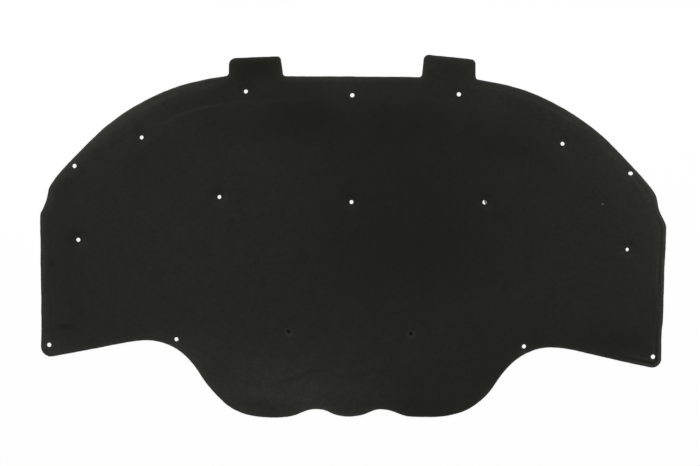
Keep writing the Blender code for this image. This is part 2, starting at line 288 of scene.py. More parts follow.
def tab_places(side):
    """The tab of one half, from its inner foot to its outer foot."""
    tab = TABS[side]
    lean = 90.0 - tab["lean"]
    slope = math.tan(math.radians(tab["lean"]))
    foot_x = tab["inner_x"] - TAB_FOOT_RADIUS
    foot_y = REAR_EDGE_Y + tab["rear_shift"] + TAB_FOOT_RADIUS
    near_y = REAR_EDGE_Y + tab["reach"] - tab["radius"]
    across = (TAB_FOOT_RADIUS + tab["radius"]) / math.cos(math.radians(tab["lean"]))
    near_x = foot_x + across + slope * (near_y - foot_y)
    far_x = tab["outer_x"] - tab["outer_radius"]
    far_y = near_y + tab["radius"] - tab["outer_radius"]
    far_y -= (far_x - near_x) * math.tan(math.radians(tab["fall"]))
    outer_foot_y = REAR_EDGE_Y - tab["drop"] + TAB_FOOT_RADIUS
    places = bend(foot_x, foot_y, -TAB_FOOT_RADIUS, 0.0, lean)
    places += bend(near_x, near_y, tab["radius"], lean, 0.0, -tab["fall"])
    places += bend(far_x, far_y, tab["outer_radius"], -tab["fall"], -90.0)
    places += bend(tab["outer_x"] + TAB_FOOT_RADIUS, outer_foot_y, -TAB_FOOT_RADIUS, -90.0,
                   tab["shoulder_heading"])
    return places


def named_places(table, side):
    """The places of one half by name, in metres."""
    places = {}
    for name, left_x, left_y, right_x, right_y, heading in table:
        x, y = (left_x, left_y) if side == "left" else (right_x, right_y)
        heading += HEADING_FIXES.get((side, name), 0.0)
        places[name] = (x * MM, y * MM, heading)
    return places


def edge_chain(side):
    """One half of the edge, from the middle of the rear to the middle of the front."""
    chain = [(0.0, REAR_EDGE_Y, 0.0)]
    chain += tab_places(side)
    chain += named_places(SIDE_PLACES, side).values()
    chain += bend(*TIP_CENTRES[side], *TIP_HEADINGS)
    chain += named_places(FRONT_PLACES, side).values()
    return chain


print("edge:", len(edge_chain("left")), "places in each half")

# %% [markdown]
# The curve between two places is worked out at equal steps of its own parameter. The whole ring is then cut
# into equal steps of length, because the mesh needs points that lie evenly along the edge.

# %% Turn places into a ring of points
CURVE_STEPS = 48
RING_STEP = 2.0 * MM
STRAIGHT_ANGLE = math.radians(0.5)


def curve_between(start, end):
    """Points on the Bezier curve from one place to the next, without the first."""
    x0, y0, heading0 = start
    x1, y1, heading1 = end
    out, into = math.radians(heading0), math.radians(heading1)
    turn_angle = abs((into - out + math.pi) % (2 * math.pi) - math.pi)
    pull = math.hypot(x1 - x0, y1 - y0) / 3
    if turn_angle > STRAIGHT_ANGLE:
        pull *= 2 * math.tan(turn_angle / 4) / math.sin(turn_angle / 2)
    corners = np.array([
        (x0, y0),
        (x0 + pull * math.cos(out), y0 + pull * math.sin(out)),
        (x1 - pull * math.cos(into), y1 - pull * math.sin(into)),
        (x1, y1),
    ])
    t = np.linspace(0.0, 1.0, CURVE_STEPS + 1)[1:, None]
    s = 1.0 - t
    return s**3 * corners[0] + 3 * s * s * t * corners[1] + 3 * s * t * t * corners[2] + t**3 * corners[3]


def half_line(chain):
    """One half as a line of points."""
    parts = [np.array([chain[0][:2]])]
    for start, end in zip(chain, chain[1:]):
        parts.append(curve_between(start, end))
    return np.concatenate(parts)


def whole_ring(make_chain):
    """Both halves joined into one ring that runs clockwise from the middle of the rear."""
    right = half_line(make_chain("right"))
    left = half_line(make_chain("left")) * (-1.0, 1.0)
    return np.concatenate([right, left[-2:0:-1]])


def even_ring(ring, step):
    """The ring cut into equal steps along its length."""
    closed = np.vstack([ring, ring[:1]])
    along = np.concatenate([[0.0], np.cumsum(np.hypot(*np.diff(closed[:, :2], axis=0).T))])
    count = round(along[-1] / step)
    places = np.arange(count) * along[-1] / count
    return np.stack([np.interp(places, along, column) for column in closed.T], axis=1)


edge_ring = even_ring(whole_ring(edge_chain), RING_STEP)
edge_length = np.hypot(*(np.roll(edge_ring, -1, axis=0) - edge_ring).T).sum()
print("edge:", len(edge_ring), "points,", round(edge_length, 3), "m round")

# %% [markdown]
# ## Where the press squeezes the felt
#
# The raised panel has a foot line inside the edge, a chain of places too. Most of the way up is a wide soft
# slope. At the left rear and above the front lobes the press also left a crisp step at the foot line, which
# has relaxed elsewhere. Each place says how many millimetres of the rise are in that step.

# %% Describe the foot of the raised panel
# The name of the place, X and Y left, X and Y right, and the crisp step left and right, in millimetres
FOOT_PLACES = (
    ("rear", 0.0, 281.0, 0.0, 281.0, 0.3, 0.3),
    ("tab", 200.5, 285.5, 198.0, 284.0, 1.7, 0.3),
    ("shoulder_high", 379.0, 246.0, 379.0, 247.0, 2.2, 0.6),
    ("shoulder_low", 511.0, 168.0, 508.0, 168.0, 0.2, 0.4),
    ("waist_rear", 589.0, 100.0, 586.0, 99.0, 0.2, 0.3),
    ("waist_hollow", 614.0, 56.0, 616.0, 56.0, 0.2, 0.4),
    ("side", 624.0, -8.0, 630.0, -8.0, 0.3, 0.5),
    ("tip_side", 621.0, -178.0, 625.0, -188.0, 0.8, 0.6),
    ("tip_front", 598.0, -212.0, 604.0, -216.0, 1.0, 0.5),
    ("crest_outer", 476.0, -203.0, 476.0, -203.0, 0.3, 0.2),
    ("crest", 419.0, -194.0, 419.0, -196.0, 0.2, 0.2),
    ("crest_inner", 345.0, -214.0, 345.0, -214.0, 0.2, 0.2),
    ("flank", 277.0, -276.0, 276.0, -280.0, 0.3, 0.2),
    ("lobe_outer", 228.0, -309.0, 228.0, -313.0, 2.4, 0.3),
    ("lobe", 165.0, -316.0, 158.0, -315.0, 3.6, 1.8),
    ("lobe_inner", 118.0, -299.0, 114.0, -295.0, 4.4, 4.4),
    ("notch", 68.0, -281.0, 74.0, -278.0, 4.4, 4.4),
    ("middle_lobe", 0.0, -299.0, 0.0, -299.0, 2.6, 2.6),
)


def foot_chain(side):
    """One half of the foot line: places with headings, and the crisp step at each of them."""
    columns = (1, 2, 5) if side == "left" else (3, 4, 6)
    points = [[row[column] * MM for column in columns] for row in FOOT_PLACES]
    chain = [(points[0][0], points[0][1], 0.0)]
    for before, point, after in zip(points, points[1:], points[2:]):
        heading = math.degrees(math.atan2(after[1] - before[1], after[0] - before[0]))
        chain.append((point[0], point[1], heading))
    chain.append((points[-1][0], points[-1][1], -180.0))
    return chain, [point[2] for point in points]


def steps_along(side):
    """The crisp step at each point of the half line."""
    chain, steps = foot_chain(side)
    stops = np.arange(len(chain)) * CURVE_STEPS
    return np.interp(np.arange(stops[-1] + 1), stops, steps)


foot_line = whole_ring(lambda side: foot_chain(side)[0])
foot_steps = np.concatenate([steps_along("right"), steps_along("left")[-2:0:-1]])
foot_ring = even_ring(np.column_stack([foot_line, foot_steps]), RING_STEP)
print("foot:", len(foot_ring), "points, crisp step up to", round(foot_steps.max() / MM, 1), "mm")

# %% [markdown]
# ## Clip holes
#
# Their places come from the frame's own record of openings. On the real pad the punch sat a little askew and
# the felt gave way, so each hole has a nudge of its own, a size and a stretch.

# %% Place the clip holes
HOLE_RADIUS = 4.5 * MM
HOLE_SIDES = 40
HOLE_SKEW_X = -0.0045
HOLE_SKEW_Y = -0.0022
# The nudge in X and Y in millimetres, and the share of the full radius
HOLE_FITS = {
    "rear_clip": (0.6, -0.8, 0.98), "tab_clip_left": (0.4, -0.7, 0.93),
    "tab_clip_right": (0.1, -0.15, 0.98), "shoulder_clip_left": (-0.4, -0.7, 0.93),
    "shoulder_clip_right": (-0.95, -0.2, 0.91), "waist_clip_left": (0.0, -2.2, 0.98),
    "waist_clip_right": (-1.1, 1.0, 0.98), "middle_clip": (1.4, 0.1, 0.91),
    "quarter_clip_left": (1.9, 1.0, 0.92), "quarter_clip_right": (1.4, -0.8, 1.0),
    "side_clip_left": (2.3, -0.15, 1.02), "side_clip_right": (1.3, 0.0, 0.84),
    "crest_clip_left": (0.5, 0.5, 0.93), "crest_clip_right": (0.5, -0.2, 0.94),
    "tip_clip_left": (0.4, 0.2, 1.0), "tip_clip_right": (-0.6, 0.45, 1.0),
    "pocket_left": (1.6, -1.4, 0.95), "pocket_right": (-0.8, -0.2, 0.95),
}
# How much some holes are stretched along X and squeezed along Y
HOLE_STRETCHES = {"waist_clip_right": 1.14, "side_clip_left": 1.08}

holes = []
for opening in frame["record"]["physics"]["openings"]:
    (x0, y0, _), (x1, y1, _) = opening["box_m"]
    x, y = (x0 + x1) / 2, (y0 + y1) / 2
    name = opening["name"].replace("_hole", "")
    nudge_x, nudge_y, share = HOLE_FITS[name]
    centre = np.array([x + HOLE_SKEW_X * y + nudge_x * MM, y + HOLE_SKEW_Y * x + nudge_y * MM])
    holes.append({"name": name, "centre": centre, "blind": name.startswith("pocket"),
                  "radius": HOLE_RADIUS * share, "stretch": HOLE_STRETCHES.get(name, 1.0)})
hole_centres = np.array([hole["centre"] for hole in holes])
print("holes:", len(holes), "of them blind:", sum(hole["blind"] for hole in holes))

# %% [markdown]
# ## A mesh that is fine where the shape needs it
#
# The mesh is woven from families of points. Rings follow the edge closely, so that the rounded rim is
# smooth, more rings follow every hole and the foot line, and a grid of triangles fills the rest. Each family
# leaves out points that come too near to those already laid. A Delaunay triangulation joins them all, and
# keeps the lines of the edge and the holes.

# %% Tools that measure gaps
def point_tree(points):
    """A search tree over points in the plane."""
    tree = KDTree(len(points))
    for index, point in enumerate(points):
        tree.insert((point[0], point[1], 0.0), index)
    tree.balance()
    return tree


def nearest(points, tree):
    """The index of the nearest point in the tree, and the distance to it, for each point."""
    found = [tree.find((x, y, 0.0)) for x, y in points[:, :2]]
    return np.array([item[1] for item in found]), np.array([item[2] for item in found])


def gap_to_ring(points, ring, tree):
    """How far each point lies inside a clockwise ring (negative outside), and the nearest ring point."""
    index, _ = nearest(points, tree)
    best = np.full(len(points), np.inf)
    signed = np.zeros(len(points))
    for shift in (-1, 0):
        start = ring[(index + shift) % len(ring), :2]
        end = ring[(index + shift + 1) % len(ring), :2]
        along = end - start
        offset = points[:, :2] - start
        share = np.clip((offset * along).sum(axis=1) / (along * along).sum(axis=1), 0.0, 1.0)
        away = offset - along * share[:, None]
        distance = np.hypot(away[:, 0], away[:, 1])
        turn_side = along[:, 0] * offset[:, 1] - along[:, 1] * offset[:, 0]
        closer = distance < best
        best = np.where(closer, distance, best)
        signed = np.where(closer, np.where(turn_side > 0, -distance, distance), signed)
    return signed, index


def ring_inset(ring, depth):
    """The ring's points moved into the pad; outwards if the depth is negative."""
    along = np.roll(ring[:, :2], -1, axis=0) - np.roll(ring[:, :2], 1, axis=0)
    along /= np.hypot(along[:, 0], along[:, 1])[:, None]
    return ring[:, :2] + depth * np.stack([along[:, 1], -along[:, 0]], axis=1)


def circle(centre, radius, count, phase=0.0):
    """Points on a circle, counter-clockwise."""
    angles = (np.arange(count) + phase) * 2 * math.pi / count
    return centre + radius * np.stack([np.cos(angles), np.sin(angles)], axis=1)


# %% Let the cut edge wander a little
EDGE_WANDER = ((30.0, 0.45 * MM), (9.0, 0.25 * MM), (3.5, 0.14 * MM))
HOLE_WANDER = ((2.5, 0.16 * MM),)
EDGE_GROWTH = 0.3 * MM
# Where in the noise each use of it starts
SEEDS = {"edge": 3.1, "holes": 11.0, "flange": 20.0, "panel": 50.0, "wall": 70.0, "underside": 90.0,
         "creases": 130.0, "foot": 150.0, "step": 170.0}
SEED_STEP = 7.3


def wander(points, layers, seed):
    """Noise at several sizes; each layer has a size in millimetres and a height."""
    total = np.zeros(len(points))
    for size, height in layers:
        scale = 1.0 / (size * MM)
        values = [noise.noise(Vector((x * scale, y * scale, seed))) for x, y in points[:, :2]]
        total += height * np.array(values)
        seed += SEED_STEP
    return total


moved = ring_inset(edge_ring, 1.0) - edge_ring
edge_ring = edge_ring + moved * (wander(edge_ring, EDGE_WANDER, SEEDS["edge"]) - EDGE_GROWTH)[:, None]
edge_tree = point_tree(edge_ring)
foot_tree = point_tree(foot_ring)
for hole in holes:
    loop = circle(hole["centre"], hole["radius"], HOLE_SIDES)
    push = wander(loop, HOLE_WANDER, SEEDS["holes"])
    longer = (1 + push / hole["radius"])[:, None] * (hole["stretch"], 1.0 / hole["stretch"])
    hole["loop"] = hole["centre"] + (loop - hole["centre"]) * longer
print("edge and holes wander")

# %% Lay the families of points
EDGE_DEPTHS = (0.35, 0.9, 1.6, 2.5, 3.7, 5.2, 7.0, 9.0, 11.5, 14.0, 17.0)
FOOT_DEPTHS = (-9.0, -6.5, -4.0, -2.0, 0.0, 2.0, 4.0, 6.0, 8.0, 10.5, 13.5, 17.0)
HOLE_RADII = (5.0, 5.7, 6.6, 7.7, 9.0, 10.5, 12.2, 14.2, 16.6, 19.5)
WIDE_RING = 9.0
WIDE_RING_SIDES = 48
GRID_STEP = 4.3 * MM
# How near each family may come to the points before it, and to the edge
EDGE_CLEAR = 0.3 * MM
EDGE_SHARE = 0.97
HOLE_CLEAR = (0.45 * MM, 0.8 * MM)
FOOT_CLEAR = (1.3 * MM, 1.5 * MM)
GRID_CLEAR = (3.0 * MM, 2.0 * MM)
WALL_CLEAR = 0.35 * MM


def hex_grid(step):
    """Points of a grid of even triangles over the pad's box."""
    rows = []
    row_step = step * math.sqrt(3) / 2
    for row in range(math.ceil((high.y - low.y) / row_step) + 4):
        x = np.arange(low.x - 2 * step, high.x + 2 * step, step) + (row % 2) * step / 2
        rows.append(np.stack([x, np.full(len(x), low.y - 2 * step + row * row_step)], axis=1))
    return np.concatenate(rows)


def outside_holes(points, margin):
    """Which points lie farther than the margin from every hole's wall."""
    clear = np.ones(len(points), bool)
    for hole in holes:
        away = np.hypot(*(points - hole["centre"]).T)
        clear &= away > hole["radius"] + margin
    return clear


def weave(families):
    """Join families of points, each with its least gaps to the points before it and to the edge."""
    kept = np.concatenate([edge_ring[:, :2]] + [hole["loop"] for hole in holes])
    for points, clear, edge_margin in families:
        gap, _ = gap_to_ring(points, edge_ring, edge_tree)
        points = points[(gap > edge_margin) & outside_holes(points, WALL_CLEAR)]
        _, distance = nearest(points, point_tree(kept))
        kept = np.concatenate([kept, points[distance > clear]])
    return kept


families = []
for depth in EDGE_DEPTHS:
    families.append((ring_inset(edge_ring, depth * MM), EDGE_CLEAR, EDGE_SHARE * depth * MM))
for radius in HOLE_RADII:
    sides = HOLE_SIDES if radius < WIDE_RING else WIDE_RING_SIDES
    circles = [circle(hole["centre"], radius * MM, sides, radius % 1.0) for hole in holes]
    families.append((np.concatenate(circles), *HOLE_CLEAR))
for depth in FOOT_DEPTHS:
    families.append((ring_inset(foot_ring, depth * MM), *FOOT_CLEAR))
families.append((hex_grid(GRID_STEP), *GRID_CLEAR))
sheet = weave(families)
print("sheet:", len(sheet), "points")

# %% Join the points into triangles
SAME_POINT = 1e-7


def triangulate(points, loops):
    """Triangles inside the edge and outside the holes, all facing up. The first loop is the edge."""
    edges = []
    loop_of = np.full(len(points), -1)
    for number, (start, count) in enumerate(loops):
        edges += [(start + i, start + (i + 1) % count) for i in range(count)]
        loop_of[start:start + count] = number
    coords = [Vector((x, y)) for x, y in points]
    out_points, _, faces, sources, _, _ = delaunay_2d_cdt(coords, edges, [], 0, SAME_POINT)
    if len(out_points) != len(points):
        raise ValueError("the triangulation added or lost points")
    back = np.array([source[0] for source in sources])
    triangles = back[np.array([list(face) for face in faces])]
    gap, _ = gap_to_ring(points[triangles].mean(axis=1), edge_ring, edge_tree)
    corner_loops = loop_of[triangles]
    one_loop = (corner_loops == corner_loops[:, :1]).all(axis=1)
    triangles = triangles[(gap > 0) & ~(one_loop & (corner_loops[:, 0] > 0))]
    a, b, c = (points[triangles[:, k]] for k in range(3))
    area = (b[:, 0] - a[:, 0]) * (c[:, 1] - a[:, 1]) - (b[:, 1] - a[:, 1]) * (c[:, 0] - a[:, 0])
    triangles[area < 0] = triangles[area < 0][:, ::-1]
    return triangles


edge_count = len(edge_ring)
top_loops = [(0, edge_count)]
for number in range(len(holes)):
    top_loops.append((edge_count + number * HOLE_SIDES, HOLE_SIDES))
top_faces = triangulate(sheet, top_loops)
print("top:", len(top_faces), "triangles")

# %% [markdown]
# ## Height rules
#
# The press leaves three levels: the thin flange, the thick panel and the clip seats. The height of a point
# follows from its gaps to the foot line, to the edge and to the nearest hole:
#
# - from the foot line inwards the felt rises from the flange to the panel, partly in a crisp step;
# - a border at the edge is pressed thinner and rolls down, and the last millimetre and a half is rounded;
# - around a hole a round seat is pressed, in a shallow bowl, and on the flange low rings lie outside it;
# - loose felt is never quite even, so a little noise of several sizes is added, more on the panel.

# %% Set the heights of the upper side
FLANGE_HEIGHT = 3.5 * MM
PANEL_HEIGHT = high.z
SEAT_HEIGHT = 3.0 * MM
PANEL_SEAT_HEIGHT = 6.5 * MM
SLOPE_START = -14.0 * MM
SLOPE_WIDTH = 78.0 * MM
CRISP_WIDTH = 9.0 * MM
FOOT_WANDER = ((60.0, 8.0 * MM), (20.0, 2.5 * MM))
CRISP_WAVES = ((55.0, 1.2), (20.0, 0.7))
CRISP_LIMITS = (0.1, 1.7)
LEAST_HEIGHT = 0.5 * MM
RIM_ROUND = 1.5 * MM
ROLL_WIDTH = 11.0 * MM
ROLL_DROP = 0.9 * MM
BORDER_WIDTH = 7.0 * MM
BORDER_SLOPE = 1.6 * MM
BORDER_DROP = 0.35 * MM
SEAT_RADIUS = 7.0 * MM
DIMPLE_RADIUS = 20.0 * MM
BOWL_RADIUS = 26.0 * MM
BOWL_SHARE = 0.45
BOWL_OFFSET = (-4.5 * MM, 3.0 * MM)
HOLE_ROUND = 0.5 * MM
POCKET_DIMPLE_RADIUS = 12.0 * MM
POCKET_DIMPLE_HEIGHT = 8.6 * MM
# Rings that the press leaves around a clip hole: radius, half width and height in millimetres
FLANGE_RINGS = ((9.5, 1.6, 0.30), (12.3, 1.5, -0.40), (15.0, 1.6, 0.22))
POCKET_RINGS = ((7.0, 1.6, 0.55),)
FLANGE_WAVES = ((120.0, 0.45 * MM), (45.0, 0.30 * MM), (18.0, 0.14 * MM), (7.0, 0.10 * MM))
PANEL_WAVES = ((170.0, 1.30 * MM), (70.0, 0.75 * MM), (26.0, 0.34 * MM), (10.0, 0.16 * MM),
               (5.0, 0.08 * MM))
# Dents and lumps that years of use have left: X, Y, radius and height in millimetres
MARKS = (
    (-360, 146, 6, 0.8), (-201, 132, 7, 0.7), (-56, 134, 6, 0.8), (-371, -72, 6, 0.7),
    (333, -13, 11, 0.8), (208, -88, 12, 0.7), (-165, -210, 5, 1.5), (-113, 208, 11, -1.0),
    (176, 119, 8, -1.0), (61, 68, 14, -1.6), (74, 52, 10, -1.2), (145, 17, 8, -0.9),
    (271, -25, 7, -0.9), (468, 40, 7, -1.2), (535, -88, 8, -1.0), (-299, -125, 9, -0.9),
    (-436, -75, 8, -1.0), (-521, 46, 7, -0.8), (-350, 59, 12, -0.8), (-280, 228, 8, -1.0),
    (-254, 181, 8, -0.9), (-221, 196, 7, -0.9), (65, 260, 8, -1.4), (-622, -72, 7, -0.6),
    (-330, 40, 9, -0.7), (-136, 47, 7, -0.6), (410, 150, 10, 0.6), (-260, 20, 12, 0.5),
)


def smooth(value):
    """A step from 0 to 1 with level ends."""
    value = np.clip(value, 0.0, 1.0)
    return value * value * (3.0 - 2.0 * value)


def rounding(gap, radius):
    """How far a quarter round of this radius lies below its top at a gap from the wall."""
    short = np.clip(radius - gap, 0.0, radius)
    return radius - np.sqrt(radius * radius - short * short)


def spread(points, x, y, half_x, half_y):
    """The squared distance to a place, in half widths; the place and half widths are in millimetres."""
    return ((points[:, 0] / MM - x) / half_x)**2 + ((points[:, 1] / MM - y) / half_y)**2


def rings(away, table):
    """Soft rings about a hole or inside the edge: a radius and half width in millimetres, and a height."""
    total = np.zeros(len(away))
    for radius, width, height in table:
        total += height * np.exp(-((away / MM - radius) / width)**2)
    return total


def nearest_hole(points):
    """The number of the nearest hole and the distance to its centre, for each point."""
    offset = points[:, None, :2] - hole_centres[None]
    away = np.hypot(offset[..., 0], offset[..., 1])
    number = away.argmin(axis=1)
    return number, away[np.arange(len(points)), number]


def top_heights(points):
    """Each point's height, share of the panel's rise, and gaps to the edge and the nearest hole's centre."""
    edge_gap, _ = gap_to_ring(points, edge_ring, edge_tree)
    foot_gap, foot_index = gap_to_ring(points, foot_ring, foot_tree)
    foot_gap = foot_gap + wander(points, FOOT_WANDER, SEEDS["foot"])
    crisp = foot_ring[foot_index, 2] / (PANEL_HEIGHT - FLANGE_HEIGHT)
    crisp = crisp * np.clip(1.0 + wander(points, CRISP_WAVES, SEEDS["step"]), *CRISP_LIMITS)
    slope = smooth((foot_gap - SLOPE_START) / SLOPE_WIDTH)
    rise = (1 - crisp) * slope + crisp * smooth(foot_gap / CRISP_WIDTH)
    z = FLANGE_HEIGHT + (PANEL_HEIGHT - FLANGE_HEIGHT) * rise
    flange_noise = wander(points, FLANGE_WAVES, SEEDS["flange"])
    z += (1 - rise) * flange_noise + rise * wander(points, PANEL_WAVES, SEEDS["panel"])
    for x, y, radius, height in MARKS:
        z += height * MM * np.exp(-spread(points, x, y, radius, radius))
    number, away = nearest_hole(points)
    blind = np.array([hole["blind"] for hole in holes])[number]
    seat = np.where(blind, POCKET_DIMPLE_HEIGHT, SEAT_HEIGHT + (PANEL_SEAT_HEIGHT - SEAT_HEIGHT) * rise)
    reach = np.where(blind, POCKET_DIMPLE_RADIUS, DIMPLE_RADIUS)
    bowl_gap = np.hypot(*(points - hole_centres[number] - BOWL_OFFSET).T)
    z -= BOWL_SHARE * (z - seat) * (1 - smooth(bowl_gap / BOWL_RADIUS))
    z = seat + (z - seat) * smooth((away - SEAT_RADIUS) / (reach - SEAT_RADIUS))
    z += (1 - rise) * rings(away, FLANGE_RINGS) * MM * ~blind
    z += rings(away, POCKET_RINGS) * MM * blind
    z -= rounding(away - HOLE_RADIUS, HOLE_ROUND)
    z -= BORDER_DROP * (1 - smooth((edge_gap - BORDER_WIDTH) / BORDER_SLOPE))
    z -= ROLL_DROP * (1 - np.clip(edge_gap / ROLL_WIDTH, 0.0, 1.0))**2
    z -= rounding(edge_gap, RIM_ROUND)
    return np.maximum(z, LEAST_HEIGHT), rise, edge_gap, away


top_z, top_rise, top_gap, top_away = top_heights(sheet)
print("heights from", round(top_z.min() / MM, 2), "to", round(top_z.max() / MM, 2), "mm")

# %% [markdown]
# ## The walls and the underside
#
# The cut edge is a low wall, a little ragged where the knife tore the fibres. The underside lies flat and
# shows nothing, so its triangles can be much larger. All use the same loops and make one closed skin.

# %% Build the felt's skin
BOTTOM_STEP = 13.0 * MM
BOTTOM_HEIGHT = 0.05 * MM
BOTTOM_WAVES = ((40.0, 0.3 * MM), (15.0, 0.15 * MM))
BOTTOM_CLEAR = {"edge": 4.0 * MM, "walls": 3.0 * MM, "points": 5.0 * MM}
WALL_ROWS = (0.62, 0.28)
WALL_RAG = ((2.2, 0.16 * MM), (5.0, 0.16 * MM))
POCKET_FLOOR = 1.0 * MM
# The rows of a pocket's wall and floor: the share of the hole's radius, and the height in millimetres
POCKET_ROWS = ((1.0, 4.5), (0.98, 1.0), (0.5, 0.9))


class Skin:
    """Collects the points and triangles of one closed surface."""

    def __init__(self):
        self.points = []
        self.faces = []

    def add_points(self, points):
        """Add points and return their numbers."""
        start = len(self.points)
        self.points.extend([tuple(point) for point in points])
        return np.arange(start, start + len(points))

    def strip(self, upper, lower):
        """Join two closed rows; seen from outside, both run to the left."""
        for i in range(len(upper)):
            j = (i + 1) % len(upper)
            self.faces.append((upper[i], upper[j], lower[j]))
            self.faces.append((upper[i], lower[j], lower[i]))


def wall_rows(skin, loop, ring, away_from_felt):
    """A wall from a loop of upper points down to the underside. Returns its rows, the loop first."""
    top = np.array([skin.points[index] for index in loop])
    rows = [loop]
    for row, share in enumerate((*WALL_ROWS, 0.0)):
        height = BOTTOM_HEIGHT + (top[:, 2] - BOTTOM_HEIGHT) * share
        push = wander(ring, WALL_RAG, SEEDS["wall"] + row) if share else 0.0
        flat = ring[:, :2] + away_from_felt * np.reshape(push, (-1, 1))
        rows.append(skin.add_points(np.column_stack([flat, height])))
    return rows


skin = Skin()
top_index = skin.add_points(np.column_stack([sheet, top_z]))
skin.faces.extend([tuple(face) for face in top_faces])
edge_rows = wall_rows(skin, top_index[:edge_count], edge_ring, moved * -1.0)
for upper, lower in zip(edge_rows, edge_rows[1:]):
    skin.strip(upper, lower)

bottom_sheet = [edge_ring[:, :2]]
bottom_index = [edge_rows[-1]]
bottom_loops = [(0, edge_count)]
pocket_index = []
for hole, (start, count) in zip(holes, top_loops[1:]):
    loop = top_index[start:start + count]
    outwards = (hole["loop"] - hole["centre"]) / hole["radius"]
    if hole["blind"]:
        walls = [loop]
        for share, height in POCKET_ROWS:
            ring = hole["centre"] + outwards * hole["radius"] * share
            walls.append(skin.add_points(np.column_stack([ring, np.full(count, height * MM)])))
        middle = skin.add_points([(*hole["centre"], POCKET_FLOOR)])[0]
        pocket_index.extend([index for row in walls[1:] for index in row] + [middle])
        for i in range(count):
            skin.faces.append((walls[-1][i], walls[-1][(i + 1) % count], middle))
    else:
        walls = wall_rows(skin, loop, hole["loop"], -outwards)
        bottom_loops.append((sum(len(part) for part in bottom_sheet), count))
        bottom_sheet.append(hole["loop"])
        bottom_index.append(walls[-1])
    for upper, lower in zip(walls, walls[1:]):
        skin.strip(upper, lower)

loops_flat = np.concatenate(bottom_sheet)
grid = hex_grid(BOTTOM_STEP)
gap, _ = gap_to_ring(grid, edge_ring, edge_tree)
_, distance = nearest(grid, point_tree(loops_flat))
clear = (gap > BOTTOM_CLEAR["edge"]) & outside_holes(grid, BOTTOM_CLEAR["walls"])
grid = grid[clear & (distance > BOTTOM_CLEAR["points"])]
grid_z = BOTTOM_HEIGHT + np.abs(wander(grid, BOTTOM_WAVES, SEEDS["underside"]))
bottom_index.append(skin.add_points(np.column_stack([grid, grid_z])))
bottom_numbers = np.concatenate(bottom_index)
bottom_points = np.concatenate([loops_flat, grid])
bottom_faces = triangulate(bottom_points, bottom_loops)
skin.faces.extend([tuple(face[::-1]) for face in bottom_numbers[bottom_faces]])

felt_mesh = bpy.data.meshes.new("felt_pad")
felt_mesh.from_pydata(skin.points, [], [tuple(int(i) for i in face) for face in skin.faces])
felt_mesh.validate()
felt = add_object("felt_pad", felt_mesh)

shape = bmesh.new()
shape.from_mesh(felt_mesh)
open_edges = sum(not edge.is_manifold for edge in shape.edges)
litres = round(shape.calc_volume(signed=True) / MM, 3)
shape.free()
print("felt:", len(felt_mesh.polygons), "triangles,", open_edges, "open edges,", litres, "litres")

# %% [markdown]
# ## What the material needs to know
#
# Each point of the mesh stores how light the felt is there, its tone, and most of it is painted light and
# shade: edges and slopes that face the lamp are painted lighter and those that face away darker, creases get
# painted light and dark lines, the rims of seats and pockets painted highlights, and the pockets a painted
# lighter inside. The flange is a little lighter too. Its `rim` is 1 at a cut edge, where the material paints
# a sheen for the light that torn fibres catch.

# %% Store the attributes
# Soft regions of painted light and shade: X, Y and the two half widths in millimetres, and how much lighter
# (or darker) the felt is
PAINTED_LIGHT_REGIONS = (
    (120, 60, 250, 200, -0.42), (190, -50, 130, 90, -0.13), (30, -60, 150, 120, -0.10),
    (60, 285, 260, 45, -0.20), (-15, 305, 42, 45, 0.32), (-75, 300, 50, 22, 0.12),
    (85, 296, 45, 18, 0.22), (-130, 255, 140, 65, -0.32), (-90, 245, 90, 45, -0.22),
    (110, 240, 110, 45, -0.28), (20, 170, 140, 60, -0.09), (150, 190, 200, 80, -0.05),
    (628, 90, 90, 200, 0.26), (450, 225, 140, 60, 0.12), (-480, 190, 90, 60, 0.10),
    (-590, 115, 60, 60, -0.12), (-240, 290, 80, 25, 0.06), (-140, -320, 140, 75, 0.66),
    (-300, -240, 80, 60, 0.26), (10, -315, 100, 55, 0.10), (170, -330, 120, 60, -0.19),
    (330, -230, 150, 80, -0.09), (-201, 352, 62, 30, -0.30), (-225, 325, 30, 22, -0.24),
    (-268, 305, 25, 18, -0.26), (205, 351, 55, 32, -0.16), (-620, -20, 50, 240, 0.04),
    (-560, -150, 80, 60, -0.06), (600, -190, 90, 70, -0.14), (345, 206, 120, 48, -0.28),
    (300, 285, 50, 16, 0.16), (275, 297, 25, 28, 0.20), (-480, 120, 130, 60, -0.06),
    (-300, 242, 80, 55, -0.24), (-440, 165, 80, 50, -0.22), (-598, -40, 38, 150, -0.26),
    (-430, -175, 80, 40, 0.10), (-185, -330, 60, 22, 0.20), (-185, -285, 70, 28, 0.18),
    (285, -262, 50, 60, -0.16), (425, -195, 110, 45, -0.14), (-595, -196, 22, 5, -0.50),
    (637.5, -150, 3.5, 70, 0.60), (628.5, -150, 5, 70, -0.38), (-622, -236, 27, 26, 0.55),
    (-262, -282, 25, 25, -0.20), (-185, -352, 42, 11, -0.40), (-85, -335, 26, 30, 0.32),
    (135, -346, 35, 12, -0.20), (548, -212, 65, 25, -0.22), (-621, -64, 8, 11, -0.40),
    (-441, 220, 11, 9, -0.45), (-361, -229, 13, 8, 0.65), (364, -233, 9, 6, 0.45),
    (364, -214.5, 8, 3, 0.45), (-554, -14, 6, 9, -0.55), (-581, 125, 9, 8, 0.40),
)
